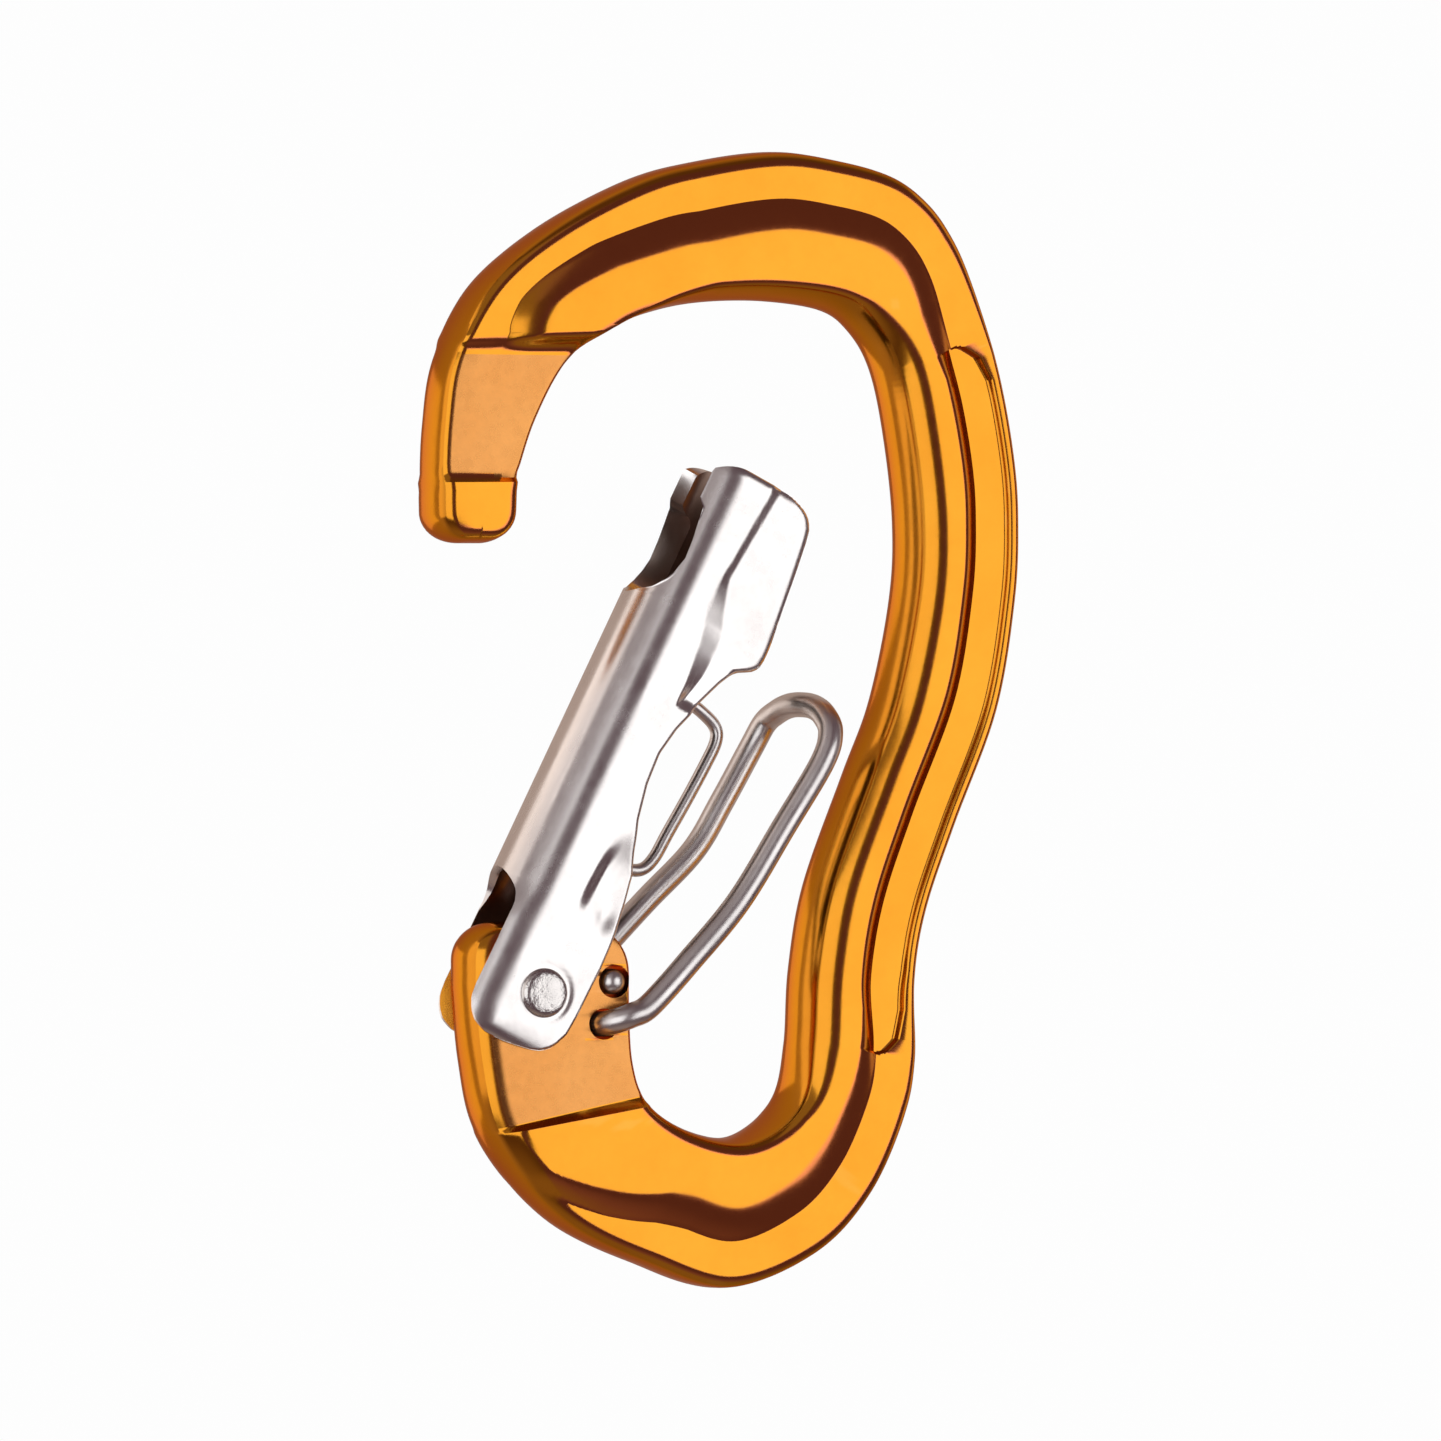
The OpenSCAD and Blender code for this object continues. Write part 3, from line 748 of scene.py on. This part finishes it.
def rivet_piece():
    """The rivet, turned about Y from (radius, y) points: a domed head on each side of one pin."""
    half = [(0.0, 5.15), (0.4, 5.145), (0.8, 5.13), (1.2, 5.105), (1.6, 5.07), (1.85, 5.02), (2.0, 4.95),
            (2.12, 4.84), (2.21, 4.7), (2.25, 4.5), (2.2, 4.3), (1.5, 4.3), (1.5, 2.0)]
    profile = half + [(r, -y) for r, y in half[::-1]]
    sides = 48
    verts, faces = [], []
    for r, y in profile:
        for k in range(sides):
            a = 2 * math.pi * k / sides
            verts.append((PIVOT[0] + max(r, 1e-4) * math.cos(a), y, PIVOT[1] + max(r, 1e-4) * math.sin(a)))
    for i in range(len(profile) - 1):
        for j in range(sides):
            k = (j + 1) % sides
            faces.append((i * sides + j, i * sides + k, (i + 1) * sides + k, (i + 1) * sides + j))
    return make_object("rivet_domed", verts, faces, RIVET_STEEL, BAR_CREASE)


sheet = gate_shell()
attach(sheet, "gate_assembly")
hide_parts("gate")
eye = eye_loop()
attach(eye, "gate_assembly")
rivet = rivet_piece()
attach(rivet, "gate_assembly")
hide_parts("rivet")
wire_halves()


# ---------------------------------------------------------------- studio
# metres and degrees; azimuth 0 faces the near side, and grows towards +X
LIGHT_CENTRE, LIGHT_DISTANCE = (-0.001, 0, -0.038), 2.0
# name, azimuth, elevation, azimuths at its two edges, height, brightness, colour
LIGHTS = [("soft_right", 31, 0, (12, 50), 1.5, 1.3, (1, 1, 1)),
          ("soft_left", -47.5, 0, (-75, -20), 1.7, 1.15, (1, 1, 1)),
          ("dim_left", -47.5, 43, (-75, -20), 1.5, 0.17, (1.0, 0.93, 0.88)),
          ("side_left", -101, 14, (-127, -75), 2.5, 0.68, (1.0, 0.91, 0.85)),
          ("soft_back", 204, -5, (187, 221), 1.2, 0.6, (1.0, 0.92, 0.86)),
          ("side_back", 100, 10, (85, 115), 2.0, 0.45, (1.0, 0.9, 0.82))]
CAMERA_CENTRE, CAMERA_AZIMUTH, CAMERA_DISTANCE = (-0.00075, 0, -0.03835), -24, 1.2
# what the frame takes in at the camera's centre, in metres, and the sensor in millimetres
FRAME_WIDTH, SENSOR = 0.1317, 36
FLOOR_Z, FLOOR_R = -0.13, 0.38


def area_light(name, azimuth, elevation, span, tall, radiance, colour):
    """A one-sided soft box that faces the object; radiance is its brightness as seen."""
    wide = arc_width(*span, LIGHT_DISTANCE)
    a, e = math.radians(azimuth), math.radians(elevation)
    way = Vector((math.sin(a) * math.cos(e), -math.cos(a) * math.cos(e), math.sin(e)))
    light = bpy.data.lights.new(name, "AREA")
    light.shape = "RECTANGLE"
    light.size, light.size_y = wide, tall
    light.energy = radiance * math.pi * wide * tall
    light.color = colour
    ob = bpy.data.objects.new(name, light)
    ob.location = Vector(LIGHT_CENTRE) + way * LIGHT_DISTANCE
    ob.rotation_euler = way.to_track_quat("Z", "Y").to_euler()
    bpy.context.scene.collection.objects.link(ob)


def arc_width(a0, a1, distance):
    """Width of a flat panel that covers the arc from azimuth a0 to a1."""
    return 2 * distance * math.tan(math.radians(abs(a1 - a0) / 2))


def studio():
    """White for the camera, and for reflections a dim warm room with a darker floor, and the soft boxes."""
    scene = bpy.context.scene
    world = bpy.data.worlds.new("studio")
    scene.world = world
    world.use_nodes = True
    nt = world.node_tree
    nt.nodes.clear()
    out = nt.nodes.new("ShaderNodeOutputWorld")
    mix = nt.nodes.new("ShaderNodeMixShader")
    path = nt.nodes.new("ShaderNodeLightPath")
    white = nt.nodes.new("ShaderNodeBackground")
    white.inputs["Color"].default_value = (0.985, 0.985, 0.985, 1)
    room = nt.nodes.new("ShaderNodeBackground")
    coord = nt.nodes.new("ShaderNodeTexCoord")
    axes = nt.nodes.new("ShaderNodeSeparateXYZ")
    ramp = nt.nodes.new("ShaderNodeValToRGB")
    ramp.color_ramp.elements[0].position = 0.45
    ramp.color_ramp.elements[0].color = (0.105, 0.066, 0.074, 1)
    ramp.color_ramp.elements[1].position = 0.75
    ramp.color_ramp.elements[1].color = (0.42, 0.31, 0.26, 1)
    half = nt.nodes.new("ShaderNodeMapRange")
    half.inputs["From Min"].default_value = -1.0
    nt.links.new(coord.outputs["Generated"], axes.inputs["Vector"])
    nt.links.new(axes.outputs["Y"], half.inputs["Value"])
    nt.links.new(half.outputs["Result"], ramp.inputs["Fac"])
    under = nt.nodes.new("ShaderNodeMapRange")
    under.inputs["From Min"].default_value = -0.6
    under.inputs["From Max"].default_value = -0.95
    ground = nt.nodes.new("ShaderNodeMix")
    ground.data_type = "RGBA"
    ground.inputs["B"].default_value = (0.26, 0.19, 0.165, 1)
    nt.links.new(axes.outputs["Z"], under.inputs["Value"])
    nt.links.new(under.outputs["Result"], ground.inputs["Factor"])
    nt.links.new(ramp.outputs["Color"], ground.inputs["A"])
    nt.links.new(ground.outputs["Result"], room.inputs["Color"])
    nt.links.new(path.outputs["Is Camera Ray"], mix.inputs["Fac"])
    nt.links.new(room.outputs["Background"], mix.inputs[1])
    nt.links.new(white.outputs["Background"], mix.inputs[2])
    nt.links.new(mix.outputs["Shader"], out.inputs["Surface"])
    scene.view_settings.view_transform = "Standard"
    for light in LIGHTS:
        area_light(*light)


def camera():
    """The photo's view: a long lens, level, from the left of the near side."""
    scene = bpy.context.scene
    cam = bpy.data.cameras.new("camera")
    azimuth = math.radians(CAMERA_AZIMUTH)
    back = Vector((math.sin(azimuth), -math.cos(azimuth), 0))
    ob = bpy.data.objects.new("camera", cam)
    ob.location = Vector(CAMERA_CENTRE) + back * CAMERA_DISTANCE
    ob.rotation_euler = back.to_track_quat("Z", "Y").to_euler()
    cam.sensor_width = SENSOR
    cam.lens = SENSOR * CAMERA_DISTANCE / FRAME_WIDTH
    cam.clip_start = 0.05
    scene.collection.objects.link(ob)
    scene.camera = ob


def floor():
    """A pale round floor under the object, which belongs to the stage."""
    m = bpy.data.materials.new("pale_floor")
    m.use_nodes = True
    nt = m.node_tree
    b = nt.nodes["Principled BSDF"]
    b.inputs["Roughness"].default_value = 0.85
    b.inputs["Emission Color"].default_value = (0.8, 0.8, 0.8, 1)
    b.inputs["Emission Strength"].default_value = 0.55
    noise = node(nt, "ShaderNodeTexNoise", Scale=40.0, Detail=3.0)
    tone = node(nt, "ShaderNodeValToRGB")
    tone.color_ramp.elements[0].color = (0.78, 0.78, 0.78, 1)
    tone.color_ramp.elements[1].color = (0.84, 0.84, 0.84, 1)
    nt.links.new(noise.outputs["Fac"], tone.inputs["Fac"])
    nt.links.new(tone.outputs["Color"], b.inputs["Base Color"])
    bm = bmesh.new()
    bmesh.ops.create_circle(bm, cap_ends=True, segments=96, radius=FLOOR_R)
    me = bpy.data.meshes.new("floor")
    bm.to_mesh(me)
    bm.free()
    me.materials.append(m)
    ob = bpy.data.objects.new("floor", me)
    ob.location = (0, 0, FLOOR_Z)
    ob.visible_glossy = False
    bpy.context.scene.collection.objects.link(ob)


studio()
camera()
floor()
